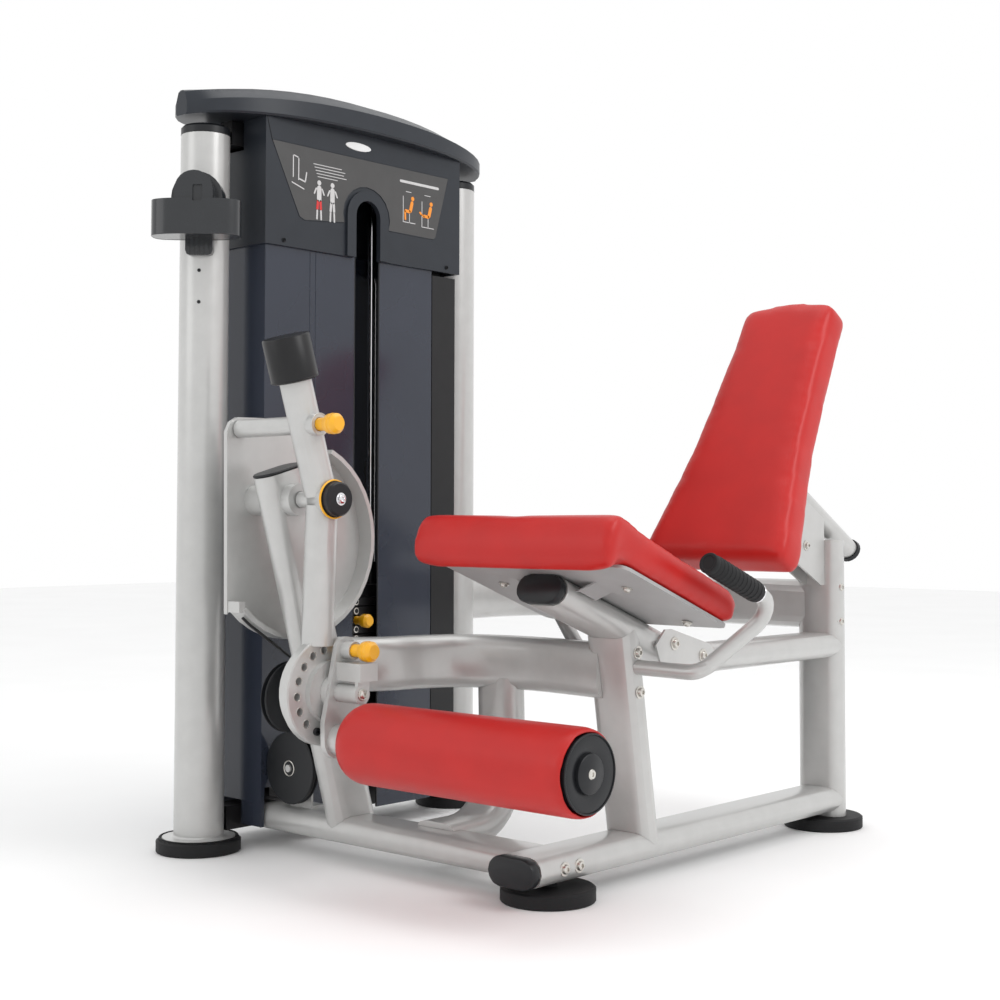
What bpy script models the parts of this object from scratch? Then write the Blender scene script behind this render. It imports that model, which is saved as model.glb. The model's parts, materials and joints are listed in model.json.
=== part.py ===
"""Selectorised leg extension machine, in metres, +Z up: tower, base, seat frame and leg arm."""

import math

import bmesh
import bpy
from mathutils import Matrix, Vector

# ---- driving dimensions (metres) ----
GAP = 0.0003  # clearance between touching pieces
OVAL_W = 0.107  # flat-oval frame tube, wide way
OVAL_T = 0.0536  # flat-oval frame tube, thin way
SHIFT = Vector((-0.4847, -0.5364, 0.0))

UPRIGHT_R = 0.0508  # round tower uprights, 4 inch tube
UPRIGHT_TOP = 1.473
TOWER_Y = 0.7466  # distance between the two uprights
TOWER_MID = TOWER_Y / 2
FOOT_R = 0.086
FOOT_H = 0.026
FACE_X = 0.0995  # front face of the header cover
HEADER_Z = (1.250, 1.500)
BOX_Y = (0.0795, 0.6640)  # sides of the header and shields

SEAT_X = 0.806  # middle of the seat frame
BASE_Z = 0.0632  # middle height of the base tubes
CROSS_Y = 0.151  # base cross tube
REAR_POST_Y = 1.0969
REAR_POST_TOP = 0.632
SEAT_TILT = math.radians(20.5)
BACK_TILT = math.radians(29.7)

PIVOT = Vector((0.0, -0.0302, 0.7134))  # arm and cam axis, along X
ARM_X = 0.405
CAM_X = 0.203
CAM_C = (0.055, 0.636)  # middle of the cam's round rim, in Y and Z
CAM_R = 0.198
DISC_C = (-0.018, 0.3545)  # middle of the roller adjuster, in Y and Z
DISC_R = 0.102
HOLE_R = 0.079  # circle of adjuster holes
HOLE_STEP = math.radians(20.8)
PIN_ANGLE = math.radians(79.5)
START_PIN = (-0.0730, 0.8512)  # start position pin, in Y and Z
START_STEP = math.radians(7.5)
ROLLER_C = (-0.022, 0.268)
ROLLER_R = 0.0765
ROLLER_X = (0.494, 1.045)

CABLE_R = 0.003
RUN_Y = 0.106  # plane of the lower cable run
A_C = (0.041, 0.326)  # cam pulley, in Y and Z
A_R = 0.065
CABLE_X = 0.235
B_C = (0.167, 0.172)  # floor pulley, in X and Z
B_R = 0.068
C_C = (0.0, 0.1573)  # tower pulley, in X and Z
C_R = 0.0533
TOP_Z = 1.400
TOP_R = 0.0533

ROD_STEP = 0.103
ROD_R = 0.0095
PLATE_H = 0.0203
STACK_TOP = 0.5047
PLATES = 20
LIFTED = 3

X = Vector((1, 0, 0))
Y = Vector((0, 1, 0))
Z = Vector((0, 0, 1))

# ---- clear the scene ----
for old in list(bpy.data.objects):
    bpy.data.objects.remove(old)
model = bpy.data.collections.new("leg_extension")
bpy.context.scene.collection.children.link(model)
cutters = bpy.data.collections.new("cutters")
cutters.hide_render = True
bpy.context.scene.collection.children.link(cutters)


# ---- materials ----
def make_material(name, colour, rough, metal=0.0, alpha=1.0):
    mat = bpy.data.materials.new(name)
    mat.use_nodes = True
    node = mat.node_tree.nodes["Principled BSDF"]
    node.inputs["Base Color"].default_value = (*colour, 1.0)
    node.inputs["Roughness"].default_value = rough
    node.inputs["Metallic"].default_value = metal
    node.inputs["Alpha"].default_value = alpha
    return mat


SILVER = ("silver_paint", (0.62, 0.62, 0.61), 0.32, 0.35)
DARK = ("dark_plastic", (0.055, 0.062, 0.070), 0.35)
RUBBER = ("black_rubber", (0.022, 0.022, 0.023), 0.75)
BLACK = ("black_plastic", (0.025, 0.027, 0.031), 0.40)
RED = ("red_vinyl", (0.55, 0.025, 0.025), 0.42)
YELLOW = ("yellow_plastic", (0.90, 0.42, 0.01), 0.35)
SMOKE = ("smoked_acrylic", (0.055, 0.062, 0.085), 0.15)
CHROME = ("chrome_rod", (0.75, 0.75, 0.77), 0.12, 1.0)
IRON = ("black_plates", (0.018, 0.018, 0.020), 0.55)
FRAME = ("black_frame", (0.020, 0.021, 0.024), 0.50)
PLATE = ("seat_plate_paint", (0.50, 0.50, 0.50), 0.40, 0.35)
CORD = ("black_cable", (0.015, 0.015, 0.016), 0.60)


# ---- mesh helpers ----
def add_object(name, mesh, spec):
    # each piece gets a material of its own, so that it can be coloured alone
    obj = bpy.data.objects.new(name, mesh)
    mesh.materials.clear()
    mesh.materials.append(make_material(name + "_" + spec[0], *spec[1:]))
    model.objects.link(obj)
    return obj


def raw_mesh(name, points, faces):
    mesh = bpy.data.meshes.new(name)
    mesh.from_pydata([tuple(p) for p in points], [], faces)
    work = bmesh.new()
    work.from_mesh(mesh)
    bmesh.ops.remove_doubles(work, verts=work.verts, dist=1e-6)
    bmesh.ops.recalc_face_normals(work, faces=work.faces)
    work.to_mesh(mesh)
    work.free()
    return mesh


def loft_mesh(name, rings):
    """A closed skin through rings of equal point count, with a flat cap at each end."""
    count = len(rings[0])
    points = [p for ring in rings for p in ring]
    faces = []
    for i in range(len(rings) - 1):
        for j in range(count):
            k = (j + 1) % count
            faces.append((i * count + j, i * count + k, (i + 1) * count + k, (i + 1) * count + j))
    faces.append(tuple(reversed(range(count))))
    last = (len(rings) - 1) * count
    faces.append(tuple(range(last, last + count)))
    return raw_mesh(name, points, faces)


def oval_profile(wide, thin, steps=6, grow=0.0):
    r = thin / 2 + grow
    half = (wide - thin) / 2
    out = []
    for i in range(steps + 1):
        a = -math.pi / 2 + math.pi * i / steps
        out.append((half + r * math.cos(a), r * math.sin(a)))
    for i in range(steps + 1):
        a = math.pi / 2 + math.pi * i / steps
        out.append((-half + r * math.cos(a), r * math.sin(a)))
    return out


def round_profile(r, steps):
    return [
        (r * math.cos(math.tau * i / steps), r * math.sin(math.tau * i / steps)) for i in range(steps)
    ]


def sweep_mesh(name, path, profile, wide):
    """Sweeps a profile along a path; its first axis stays as near to the wide direction as it can."""
    rings = []
    last = len(path) - 1
    for i, point in enumerate(path):
        before = (path[i] - path[i - 1]).normalized() if i else None
        after = (path[i + 1] - path[i]).normalized() if i < last else None
        along = ((before or after) + (after or before)).normalized()
        u = (wide - along * along.dot(wide)).normalized()
        v = along.cross(u)
        stretch = 1.0 if not (before and after) else 1.0 / max(0.3, along.dot(after))
        bend = (after - before) if before and after else Vector()
        ring = []
        for a, b in profile:
            offset = u * a + v * b
            if bend.length > 1e-4:
                side = bend.normalized()
                offset += side * offset.dot(side) * (stretch - 1.0)
            ring.append(point + offset)
        rings.append(ring)
    return loft_mesh(name, rings)


def bent_path(corners, radius, steps=8):
    """The corners joined by straight runs, each inner corner rounded to the given radius."""
    path = [corners[0].copy()]
    for i in range(1, len(corners) - 1):
        corner = corners[i]
        a = (corners[i - 1] - corner).normalized()
        b = (corners[i + 1] - corner).normalized()
        angle = a.angle(b)
        turn = math.pi - angle
        reach = radius * math.tan(turn / 2)
        middle = corner + (a + b).normalized() * (radius / math.sin(angle / 2))
        start = corner + a * reach - middle
        axis = start.cross(corner + b * reach - middle).normalized()
        for j in range(steps + 1):
            path.append(middle + Matrix.Rotation(turn * j / steps, 3, axis) @ start)
    path.append(corners[-1].copy())
    return path


def spline_path(knots, steps=5):
    """A smooth curve through the knots (Catmull-Rom)."""
    path = []
    for i in range(len(knots) - 1):
        p1 = knots[i]
        p2 = knots[i + 1]
        p0 = knots[i - 1] if i else p1 * 2 - p2
        p3 = knots[i + 2] if i + 2 < len(knots) else p2 * 2 - p1
        for j in range(steps):
            t = j / steps
            path.append(
                0.5
                * (
                    2 * p1
                    + (p2 - p0) * t
                    + (2 * p0 - 5 * p1 + 4 * p2 - p3) * t * t
                    + (3 * p1 - p0 - 3 * p2 + p3) * t * t * t
                )
            )
    path.append(knots[-1].copy())
    return path


def turned_mesh(name, origin, axis, profile, steps=24):
    """A solid of revolution: the profile is (distance along the axis, radius) from one end to the other."""
    axis = axis.normalized()
    u = axis.orthogonal().normalized()
    v = axis.cross(u)
    rings = []
    for s, r in profile:
        ring = []
        for i in range(steps):
            a = math.tau * i / steps
            ring.append(origin + axis * s + (u * math.cos(a) + v * math.sin(a)) * r)
        rings.append(ring)
    return loft_mesh(name, rings)


def prism_mesh(name, outline, origin, u, v, w0, w1):
    """A flat outline in the plane of u and v, extruded along u x v from w0 to w1."""
    w = u.cross(v)
    low = [origin + u * a + v * b + w * w0 for a, b in outline]
    high = [p + w * (w1 - w0) for p in low]
    return loft_mesh(name, [low, high])


def box_mesh(name, low, high):
    outline = [(low[0], low[1]), (high[0], low[1]), (high[0], high[1]), (low[0], high[1])]
    return prism_mesh(name, outline, Vector(), X, Y, low[2], high[2])


def plain(mesh):
    """A helper object for a Boolean; it is removed after use."""
    obj = bpy.data.objects.new("helper", mesh)
    cutters.objects.link(obj)
    obj.hide_render = True
    obj.display_type = "WIRE"
    return obj


def combine(obj, mesh, operation):
    helper = plain(mesh)
    modifier = obj.modifiers.new("combine", "BOOLEAN")
    modifier.operation = operation
    modifier.solver = "EXACT"
    modifier.object = helper
    graph = bpy.context.evaluated_depsgraph_get()
    graph.update()
    result = bpy.data.meshes.new_from_object(obj.evaluated_get(graph))
    obj.modifiers.clear()
    obj.data = result
    bpy.data.objects.remove(helper)
    return obj


def cut(obj, *meshes):
    for mesh in meshes:
        combine(obj, mesh, "DIFFERENCE")
    return obj


def join(obj, *meshes):
    for mesh in meshes:
        combine(obj, mesh, "UNION")
    return obj


def bevelled(obj, width, segments=2, angle=30.0):
    modifier = obj.modifiers.new("bevel", "BEVEL")
    modifier.width = width
    modifier.segments = segments
    modifier.limit_method = "ANGLE"
    modifier.angle_limit = math.radians(angle)
    graph = bpy.context.evaluated_depsgraph_get()
    graph.update()
    result = bpy.data.meshes.new_from_object(obj.evaluated_get(graph))
    obj.modifiers.clear()
    obj.data = result
    return obj


def smooth(obj, degrees=35.0):
    for polygon in obj.data.polygons:
        polygon.use_smooth = True
    work = bmesh.new()
    work.from_mesh(obj.data)
    for edge in work.edges:
        if len(edge.link_faces) == 2 and edge.calc_face_angle(0.0) > math.radians(degrees):
            edge.smooth = False
    work.to_mesh(obj.data)
    work.free()
    return obj


def set_origin(obj, point):
    obj.data.transform(Matrix.Translation(-point))
    obj.location = point
    return obj


def oval_tube(name, path, wide, spec=SILVER, steps=6):
    return add_object(name, sweep_mesh(name, path, oval_profile(OVAL_W, OVAL_T, steps), wide), spec)


def oval_cutter(path, wide, grow=GAP):
    return sweep_mesh("cutter", path, oval_profile(OVAL_W, OVAL_T, 6, grow), wide)


def round_tube(name, path, r, spec=SILVER, steps=14, wide=X):
    return add_object(name, sweep_mesh(name, path, round_profile(r, steps), wide), spec)


def rounded_rectangle(a0, b0, a1, b1, r, steps=4):
    out = []
    corners = ((a1 - r, b0 + r, -90), (a1 - r, b1 - r, 0), (a0 + r, b1 - r, 90), (a0 + r, b0 + r, 180))
    for ca, cb, start in corners:
        for i in range(steps + 1):
            t = math.radians(start + 90 * i / steps)
            out.append((ca + r * math.cos(t), cb + r * math.sin(t)))
    return out


def yz_prism(name, outline, x0, x1):
    return prism_mesh(name, outline, Vector(), Y, Z, x0, x1)


# ---- weight tower: uprights, caps and feet ----
for name, y in (("front", 0.0), ("rear", TOWER_Y)):
    base = Vector((0, y, 0))
    profile = [(FOOT_H + GAP, 0.074), (FOOT_H + 0.0035, 0.074), (FOOT_H + 0.0045, UPRIGHT_R + 0.003)]
    profile += [(FOOT_H + 0.008, UPRIGHT_R), (UPRIGHT_TOP, UPRIGHT_R)]
    upright = add_object(name + "_upright", turned_mesh("m", base, Z, profile, 32), SILVER)
    smooth(upright)
    profile = [(UPRIGHT_TOP + GAP, UPRIGHT_R), (UPRIGHT_TOP + 0.014, UPRIGHT_R)]
    profile += [(UPRIGHT_TOP + 0.019, UPRIGHT_R - 0.005)]
    smooth(add_object(name + "_upright_cap", turned_mesh("m", base, Z, profile, 28), BLACK))
    profile = [(0, FOOT_R - 0.002), (0.002, FOOT_R), (FOOT_H - 0.003, FOOT_R), (FOOT_H, FOOT_R - 0.004)]
    smooth(add_object(name + "_upright_foot", turned_mesh("m", base, Z, profile, 32), RUBBER))

# ---- weight tower: inner black frame with bottom beam, top beam, side channels and pulley brackets ----
u_top = Vector((C_R, TOWER_MID - RUN_Y, 0)).normalized()
n_top = Vector((u_top.y, -u_top.x, 0))
d1 = Vector((-C_R, RUN_Y, TOP_Z)) + u_top * TOP_R
d2 = Vector((0, TOWER_MID, TOP_Z)) - u_top * TOP_R
frame = add_object(
    "tower_frame",
    box_mesh("m", (-0.025, UPRIGHT_R + GAP, 0.036), (0.025, TOWER_Y - UPRIGHT_R - GAP, 0.085)),
    FRAME,
)
join(
    frame,
    box_mesh("m", (-0.020, 0.5815, 0.050), (0.0915, 0.6570, 1.240)),
    box_mesh("m", (-0.019, 0.120, 0.050), (0.019, 0.134, 0.205)),
    box_mesh("m", (-0.0185, 0.1203, 0.0940), (0.0775, 0.1337, 0.2045)),
    box_mesh("m", (0.030, 0.1201, 0.0935), (0.0779, 0.163, 1.240)),
    box_mesh("m", (-0.0205, 0.1205, 1.200), (0.0775, 0.135, 1.480)),
    box_mesh("m", (-0.0203, 0.6110, 1.200), (0.050, 0.6500, 1.480)),
    box_mesh("m", (-0.024, UPRIGHT_R + GAP, 1.463), (0.024, TOWER_Y - UPRIGHT_R - GAP, 1.489)),
    box_mesh("m", (-0.075, 0.1400, 1.4640), (0.0, 0.3450, 1.4875)),
    box_mesh("m", (-0.019, 0.054, 1.470), (0.019, 0.100, 1.5155)),
    box_mesh("m", (-0.019, 0.6466, 1.470), (0.019, 0.6926, 1.5155)),
)
length = (d2 - d1).length
hanger = [(-0.020, -0.020), (length + 0.020, -0.020), (length + 0.020, 0.080), (-0.020, 0.080)]
join(frame, prism_mesh("m", hanger, d1, u_top, Z, -0.0165, -0.0105))
for centre in (d1, d2):
    join(frame, turned_mesh("m", centre, n_top, [(-0.0130, 0.0075), (0.0098, 0.0075)], 14))
join(
    frame,
    turned_mesh("m", Vector((C_C[0], 0, C_C[1])), Y, [(RUN_Y - 0.0105, 0.0075), (0.125, 0.0075)], 14),
)

# ---- weight tower: guide rods and weight stack ----
for name, y in (("front", TOWER_MID - ROD_STEP), ("rear", TOWER_MID + ROD_STEP)):
    rod = turned_mesh("m", Vector((0, y, 0)), Z, [(0.0853, ROD_R), (1.4627, ROD_R)], 16)
    smooth(add_object(name + "_guide_rod", rod, CHROME))


def plate_block(name, bottom, count):
    rings = []
    for i in range(count):
        z0 = bottom + i * PLATE_H
        for z, inset in (
            (z0, 0.0025), (z0 + 0.0018, 0.0), (z0 + PLATE_H - 0.0018, 0.0), (z0 + PLATE_H, 0.0025)
        ):
            if i and z == z0:
                continue
            shape = rounded_rectangle(
                -0.066 + inset, 0.2233 + inset, 0.066 - inset, 0.5233 - inset, 0.008, 1
            )
            rings.append([Vector((a, b, z)) for a, b in shape])
    block = add_object(name, loft_mesh("m", rings), IRON)
    low = bottom - 0.01
    high = bottom + count * PLATE_H + 0.01
    for y, r in ((TOWER_MID - ROD_STEP, 0.0110), (TOWER_MID + ROD_STEP, 0.0110), (TOWER_MID, 0.0125)):
        cut(block, turned_mesh("m", Vector((0, y, 0)), Z, [(low, r), (high, r)], 14))
    return block


lifted_bottom = STACK_TOP - LIFTED * PLATE_H
resting_bottom = lifted_bottom - GAP - (PLATES - LIFTED) * PLATE_H
plate_block("resting_plates", resting_bottom, PLATES - LIFTED)
lifted = plate_block("lifted_plates", lifted_bottom, LIFTED)
SELECT_Z = lifted_bottom + PLATE_H / 2
cut(
    lifted,
    turned_mesh("m", Vector((0, TOWER_MID, SELECT_Z)), X, [(-0.030, 0.0055), (0.090, 0.0055)], 12),
)

head_shape = rounded_rectangle(-0.050, TOWER_MID - 0.125, 0.060, TOWER_MID + 0.125, 0.010, 2)
head = add_object(
    "head_plate", prism_mesh("m", head_shape, Vector(), X, Y, STACK_TOP + GAP, STACK_TOP + 0.0260), IRON
)
for y in (TOWER_MID - ROD_STEP, TOWER_MID + ROD_STEP):
    join(
        head, turned_mesh("m", Vector((0, y, 0)), Z, [(STACK_TOP + 0.020, 0.0165), (0.580, 0.0165)], 16)
    )
    cut(head, turned_mesh("m", Vector((0, y, 0)), Z, [(0.40, 0.0105), (0.65, 0.0105)], 14))
join(head, turned_mesh("m", Vector((0, TOWER_MID, 0)), Z, [(0.115, 0.0110), (0.600, 0.0110)], 14))
cut(
    head, turned_mesh("m", Vector((0, TOWER_MID, SELECT_Z)), X, [(-0.020, 0.0055), (0.020, 0.0055)], 12)
)

profile = [(-0.014, 0.0042), (0.0665, 0.0042), (0.0668, 0.0095), (0.086, 0.0095), (0.0865, 0.0130)]
profile += [(0.090, 0.0150), (0.104, 0.0150), (0.110, 0.0105)]
pin = add_object(
    "selector_pin", turned_mesh("m", Vector((0, TOWER_MID, SELECT_Z)), X, profile, 20), YELLOW
)
set_origin(smooth(pin), Vector((0.0665, TOWER_MID, SELECT_Z)))

# ---- weight tower: header cover, roof and shields ----
def roof_low(y):
    return 1.526 - 0.10 * (y - TOWER_MID) ** 2


arch = [BOX_Y[0] + (BOX_Y[1] - BOX_Y[0]) * i / 12 for i in range(13)]
outline = [(BOX_Y[0], HEADER_Z[0]), (BOX_Y[1], HEADER_Z[0])] + [
    (y, roof_low(y) - 0.0005) for y in reversed(arch)
]
header = add_object("header_cover", yz_prism("m", outline, -FACE_X, FACE_X), DARK)
inner = [
    (BOX_Y[0] + 0.006, 1.0), (BOX_Y[1] - 0.006, 1.0), (BOX_Y[1] - 0.006, 1.6), (BOX_Y[0] + 0.006, 1.6)
]
cut(header, yz_prism("m", inner, -FACE_X + 0.006, FACE_X - 0.006))
for y0, y1 in ((0.060, 0.100), (0.640, 0.690)):
    cut(header, box_mesh("m", (-0.026, y0, 1.455), (0.026, y1, 1.600)))
slot_mid = 0.3665
slot = [(slot_mid - 0.0360, 1.20), (slot_mid + 0.0360, 1.20)]
lip = [(slot_mid - 0.0620, 1.2505), (slot_mid + 0.0620, 1.2505)]
for i in range(13):
    a = math.pi * i / 12
    slot.append((slot_mid + 0.0360 * math.cos(a), 1.343 + 0.0360 * math.sin(a)))
    lip.append((slot_mid + 0.0620 * math.cos(a), 1.343 + 0.0580 * math.sin(a)))
join(header, yz_prism("m", lip, FACE_X - 0.005, FACE_X + 0.006))
cut(header, yz_prism("m", slot, FACE_X - 0.020, FACE_X + 0.020))

rings = []
for i in range(25):
    t = -math.cos(math.pi * i / 24)
    y = TOWER_MID + 0.4360 * t
    half = max(0.018, 0.130 * math.sqrt(max(0.0, 1 - abs(t) ** 3)))
    low = roof_low(y)
    band = 1.566 - 0.17 * (y - TOWER_MID) ** 2
    top = 1.594 - 0.25 * (y - TOWER_MID) ** 2 - 0.028 * min(0.0, y - TOWER_MID)
    inset = min(0.035, half * 0.4)
    ring = [(-half + 0.004, low), (half - 0.004, low), (half, low + 0.004), (half, band)]
    ring += [(half - inset, top - 0.004), (half - 2.0 * inset, top), (-half + 2.0 * inset, top)]
    ring += [(-half + inset, top - 0.004), (-half, band), (-half, low + 0.004)]
    rings.append([Vector((a, y, b)) for a, b in ring])
roof = add_object("roof_cap", loft_mesh("m", rings), DARK)
smooth(roof, 30)

SHIELD_X = (0.0896, 0.0926)
SHIELD_TOP = 1.290
for name, y0, y1, side in (
    ("front_shield", BOX_Y[0] + 0.0065, 0.3390, BOX_Y[0] + 0.0065),
    ("rear_shield", 0.4110, 0.5780, None),
):
    shield = add_object(
        name, box_mesh("m", (SHIELD_X[0], y0, 0.045), (SHIELD_X[1], y1, SHIELD_TOP)), SMOKE
    )
    if side:
        flange = box_mesh(
            "m", (-0.0885, side, 0.0455), (SHIELD_X[1] - 0.001, side + 0.003, SHIELD_TOP - 0.0005)
        )
        join(shield, flange)
        cut(shield, box_mesh("m", (-0.095, side - 0.01, 0.020), (0.030, side + 0.01, 0.095)))
        cut(shield, box_mesh("m", (0.070, 0.0950, 0.020), (0.110, 0.2115, 0.125)))
panel = box_mesh("m", (-0.0926, BOX_Y[0] + 0.0065, 0.045), (-0.0896, BOX_Y[1] - 0.0065, SHIELD_TOP))
add_object("back_shield", panel, SMOKE)

# ---- cup holder clipped round the front upright: two open pockets with a raised block between them ----
out = Vector((0.6740, -0.7390, 0)).normalized()
across = Vector((-out.y, out.x, 0))
POCKET = 0.0430


def holder_outline(grow, steps=28):
    points = []
    for i in range(steps):
        a = math.tau * i / steps
        c = math.cos(a)
        s = math.sin(a)
        wide = math.copysign(abs(c) ** 0.7, c) * (0.0900 + grow)
        points.append((wide, 0.0930 + math.copysign(abs(s) ** 0.7, s) * (0.0420 + grow)))
    return points


def holder_prism(outline, z0, z1):
    low = [across * a + out * b + Z * z0 for a, b in outline]
    return loft_mesh("m", [low, [p + Z * (z1 - z0) for p in low]])


def arch_prism(half, z0, shoulder, b0, b1):
    shape = [(-half, z0), (half, z0)]
    shape += [
        (half * math.cos(math.pi * i / 12), shoulder + half * math.sin(math.pi * i / 12)) for i in range(13)
    ]
    low = [across * a + Z * b + out * b0 for a, b in shape]
    return loft_mesh("m", [low, [p + out * (b1 - b0) for p in low]])


holder = add_object("cup_holder", holder_prism(holder_outline(0.0), 1.2460, 1.3180), DARK)
inside = holder_outline(-0.0035, 56)
right = [(a, b) for a, b in inside if a > POCKET]
right.sort(key=lambda p: math.atan2(p[1] - 0.0930, p[0] - 0.060))
cut(holder, holder_prism(right, 1.2500, 1.420))
cut(holder, holder_prism([(-a, b) for a, b in reversed(right)], 1.2500, 1.420))
join(holder, arch_prism(0.0385, 1.2600, 1.3370, 0.0900, 0.1290))
join(holder, arch_prism(0.0520, 1.2480, 1.3285, 0.0460, 0.0920))
slot_low = [
    across * a + out * 0.1240 + Z * b
    for a, b in rounded_rectangle(-0.0020, 1.3120, 0.0180, 1.3460, 0.003, 2)
]
cut(holder, loft_mesh("m", [slot_low, [p + out * 0.020 for p in slot_low]]))
clamp = [
    across * a + Z * b + out * (UPRIGHT_R - 0.006)
    for a, b in rounded_rectangle(-0.028, 1.214, 0.028, 1.2600, 0.010, 2)
]
join(holder, loft_mesh("m", [clamp, [p + out * 0.0200 for p in clamp]]))
cut(holder, turned_mesh("m", Vector(), Z, [(1.0, UPRIGHT_R + GAP), (1.45, UPRIGHT_R + GAP)], 32))

# ---- base tubes ----
side_path = [Vector((SEAT_X, 0.0760, BASE_Z)), Vector((SEAT_X, REAR_POST_Y, BASE_Z))]
rear_post_path = [
    Vector((SEAT_X, REAR_POST_Y, FOOT_H + GAP)), Vector((SEAT_X, REAR_POST_Y, REAR_POST_TOP))
]
rear_post = oval_tube("rear_seat_post", rear_post_path, X)
post_cutter_path = [Vector((SEAT_X, REAR_POST_Y, -0.1)), Vector((SEAT_X, REAR_POST_Y, 1.0))]
side = oval_tube("base_side_tube", side_path, X)
cut(side, oval_cutter(post_cutter_path, X))
cross_path = [Vector((0.0253, CROSS_Y, BASE_Z)), Vector((SEAT_X, CROSS_Y, BASE_Z))]
cross = oval_tube("base_cross_tube", cross_path, Y)
cut(cross, oval_cutter([Vector((SEAT_X, -0.2, BASE_Z)), Vector((SEAT_X, 1.3, BASE_Z))], X))
join(
    cross,
    box_mesh("m", (0.135, 0.1285, 0.078), (0.199, 0.1345, 0.190)),
    box_mesh("m", (0.138, 0.1280, 0.078), (0.196, 0.1700, 0.0945)),
    turned_mesh("m", Vector((B_C[0], 0, B_C[1])), Y, [(RUN_Y - 0.0125, 0.0075), (0.130, 0.0075)], 14),
)
cap = sweep_mesh(
    "m",
    [Vector((SEAT_X, 0.0520, BASE_Z)), Vector((SEAT_X, 0.0760 - GAP, BASE_Z))],
    oval_profile(OVAL_W, OVAL_T, 6, 0.0006),
    X,
)
bevelled(add_object("base_side_cap", cap, BLACK), 0.006, 2)
for name, y in (("seat_front_foot", 0.1553), ("seat_rear_foot", REAR_POST_Y)):
    profile = [(0, FOOT_R - 0.002), (0.002, FOOT_R), (FOOT_H - 0.003, FOOT_R), (FOOT_H, FOOT_R - 0.004)]
    if y < 0.5:
        profile += [(FOOT_H, 0.016), (BASE_Z - OVAL_T / 2 - GAP, 0.016)]
    smooth(add_object(name, turned_mesh("m", Vector((SEAT_X, y, 0)), Z, profile, 32), RUBBER))

# ---- arm support post, leaning forward from the base cross tube ----
POST_X = 0.2942
POST_TILT = 0.2858
post_low = Vector((POST_X, CROSS_Y + POST_TILT * 0.010, 0.069))
post_high = Vector((POST_X, CROSS_Y - POST_TILT * (0.7666 - 0.0791), 0.7666))
lean = (post_high - post_low).normalized()
support = oval_tube("arm_support_post", [post_low, post_high], Y)
cross_cutter = oval_cutter([Vector((-0.2, CROSS_Y, BASE_Z)), Vector((1.2, CROSS_Y, BASE_Z))], Y)
cut(support, cross_cutter)
join(support, turned_mesh("m", PIVOT, X, [(POST_X, 0.031), (0.3450, 0.031)], 20))
cut(support, turned_mesh("m", PIVOT, X, [(0.20, 0.0162), (0.40, 0.0162)], 16))
cut(support, turned_mesh("m", PIVOT, X, [(0.20, 0.0318), (0.2695, 0.0318)], 20))
pulley_a = Vector((CABLE_X, A_C[0], A_C[1]))
join(support, turned_mesh("m", pulley_a, X, [(-0.0120, 0.0075), (0.060, 0.0075)], 14))
cap_path = [post_high + lean * GAP, post_high + lean * 0.006]
cap = add_object(
    "support_post_cap", sweep_mesh("m", cap_path, oval_profile(OVAL_W, OVAL_T, 6, 0.0005), Y), BLACK
)
bevelled(cap, 0.002, 1)

# ---- seat frame tubes ----
rail_dir = Vector((0, math.cos(SEAT_TILT), -math.sin(SEAT_TILT)))
rail_up = Vector((0, math.sin(SEAT_TILT), math.cos(SEAT_TILT)))
rail_start = Vector((SEAT_X, 0.1457, 0.5478))
rail_end = rail_start + rail_dir * 0.50
low_rail_y = 0.60
side_rail_z = 0.400
rail_corner = rail_start + rail_dir * ((rail_start.z - side_rail_z) / math.sin(SEAT_TILT))
rail_path = bent_path([rail_start, rail_corner, rail_corner + Y * 0.10], 0.10, 4)
rail = oval_tube("seat_rail", rail_path, X)
splice = [(0.4150, 0.4060), (0.4000, 0.4400), (0.4300, 0.4680), (0.4500, 0.4680), (0.5780, 0.4330)]
splice += [(0.5950, 0.4150), (0.5900, 0.3950), (0.5700, 0.3850), (0.4400, 0.3880)]
plates = add_object("rail_splice", yz_prism("m", splice, SEAT_X + 0.0540, SEAT_X + 0.0585), SILVER)
for y, z in ((0.459, 0.440), (0.552, 0.4120)):
    bolt = Vector((0, y, z))
    join(plates, turned_mesh("m", bolt, X, [(SEAT_X - 0.0560, 0.0060), (SEAT_X + 0.0560, 0.0060)], 12))
    cut(rail, turned_mesh("m", bolt, X, [(SEAT_X - 0.0700, 0.0063), (SEAT_X + 0.0700, 0.0063)], 12))
join(plates, yz_prism("m", splice, SEAT_X - 0.0585, SEAT_X - 0.0540))
cap_path = [rail_start - rail_dir * 0.020, rail_start - rail_dir * GAP]
cap = add_object("seat_rail_cap", sweep_mesh("m", cap_path, oval_profile(OVAL_W, OVAL_T, 6), X), BLACK)
bevelled(cap, 0.006, 2)
low_path = [rail_corner + Y * (0.10 + GAP), Vector((SEAT_X, REAR_POST_Y, side_rail_z))]
side_rail = oval_tube("side_rail", low_path, X)
cut(side_rail, oval_cutter(post_cutter_path, X))

fsp_low = Vector((SEAT_X, 0.404, 0.069))
fsp_high = Vector((SEAT_X, 0.3410, 0.4720))
front_post = oval_tube("front_seat_post", [fsp_low, fsp_high], X)
cut(front_post, oval_cutter([Vector((SEAT_X, -0.2, BASE_Z)), Vector((SEAT_X, 1.3, BASE_Z))], X))
cut(front_post, oval_cutter([rail_start - rail_dir * 0.3, rail_start + rail_dir * 0.398], X))

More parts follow.
